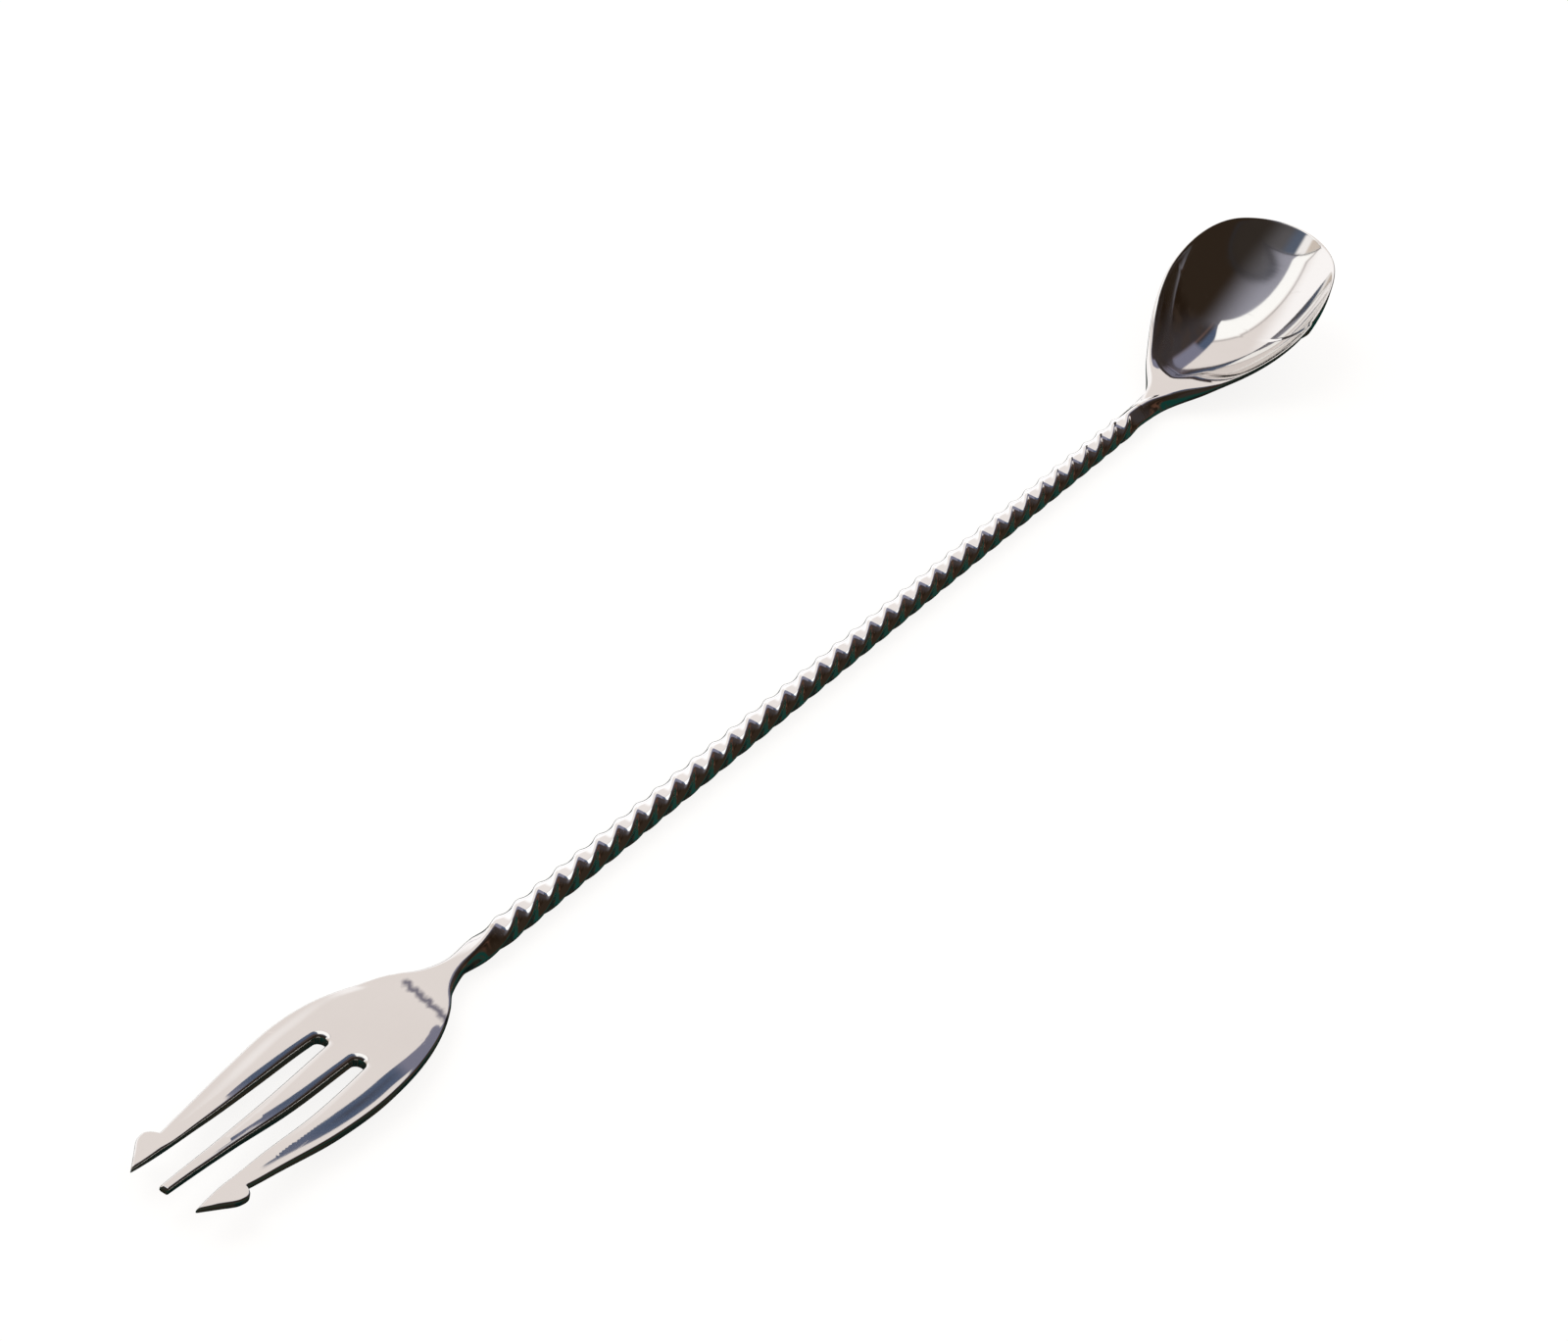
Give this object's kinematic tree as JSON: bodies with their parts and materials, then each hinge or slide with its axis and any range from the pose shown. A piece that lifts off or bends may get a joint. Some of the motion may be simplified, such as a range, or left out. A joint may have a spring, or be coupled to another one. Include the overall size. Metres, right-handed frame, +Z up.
{
  "type": "bar spoon",
  "caption": "Long bar spoon with a twisted square shank, a teardrop bowl at one end and a flat fork with barbed outer tines at the other.",
  "frame": {"origin": "under the middle of the spoon's length and width, on the plane that the shank's corners rest on", "axes": "+X along the spoon from the fork to the bowl, +Y across it, +Z up out of the bowl"},
  "size_m": [0.32, 0.027, 0.0172],
  "materials": {
    "polished_steel": "mirror-polished stainless steel",
    "weld_steel": "weld metal dressed flush and polished"
  },
  "bodies": {
    "root": {"fork": "polished_steel", "fork_weld": "weld_steel", "shank": "polished_steel", "bowl_weld": "weld_steel", "bowl": "polished_steel"}
  },
  "joints": []
}
